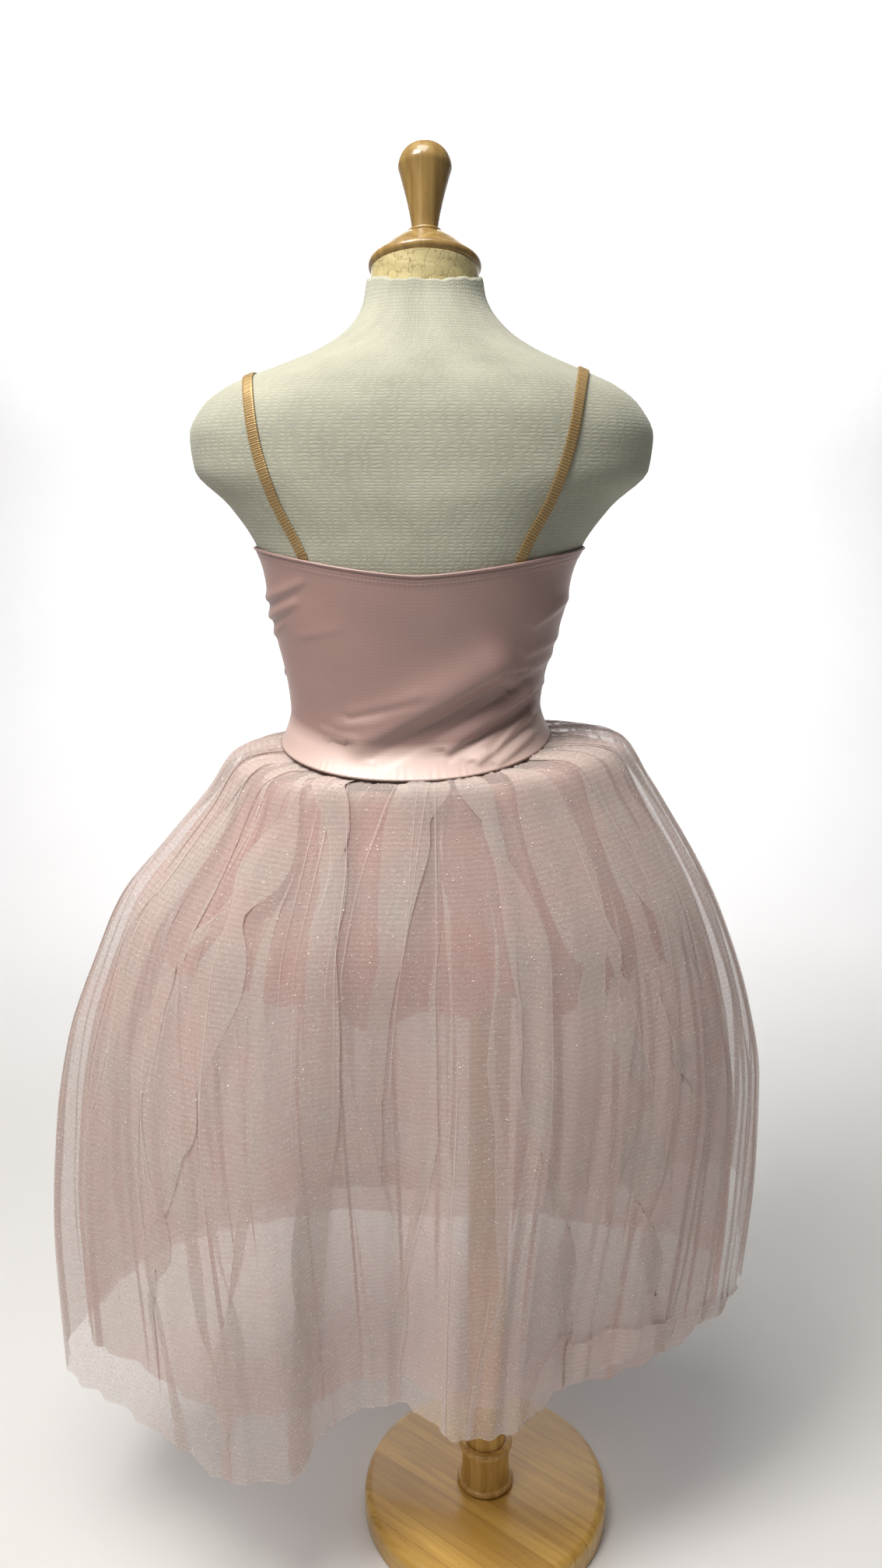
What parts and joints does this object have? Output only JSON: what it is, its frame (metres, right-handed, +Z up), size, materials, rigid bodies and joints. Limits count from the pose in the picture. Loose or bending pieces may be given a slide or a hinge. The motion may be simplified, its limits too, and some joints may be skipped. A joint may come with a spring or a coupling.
{
  "type": "ballet tutu on dress form",
  "caption": "Romantic-length ballet tutu with a camisole bodice, elastic straps and gathered tulle skirts, worn by a limbless dress form on a wooden stand.",
  "frame": {"origin": "middle of the stand base's flat underside, on the floor, on the axis of the pole", "axes": "+Z up, -Y toward the front of the tutu, +X toward its wearer's left"},
  "size_m": [0.6976, 0.3616, 1.2969],
  "materials": {
    "pink_satin": "matte satin stretch fabric",
    "gold_elastic": "ribbed metallic elastic",
    "glitter_tulle": "sheer net with small glitter",
    "plain_tulle": "sheer matte net",
    "pink_tulle": "matte net",
    "knit_cover": "flecked knit",
    "cream_paint": "cracked cream paint",
    "turned_wood": "gloss varnish",
    "base_wood": "laminated strips, gloss varnish"
  },
  "bodies": {
    "root": {"bodice_back": "pink_satin", "bodice_front": "pink_satin", "strap_left": "gold_elastic", "strap_right": "gold_elastic", "outer_skirt_back": "glitter_tulle", "outer_skirt_front": "glitter_tulle", "inner_skirt_back": "plain_tulle", "inner_skirt_front": "plain_tulle", "underskirt_back": "pink_tulle", "underskirt_front": "pink_tulle", "dress_form": "knit_cover", "neck_block": "cream_paint", "neck_cap": "turned_wood", "neck_finial": "turned_wood", "stand_pole": "turned_wood", "stand_socket": "turned_wood", "stand_base": "base_wood"}
  },
  "joints": []
}
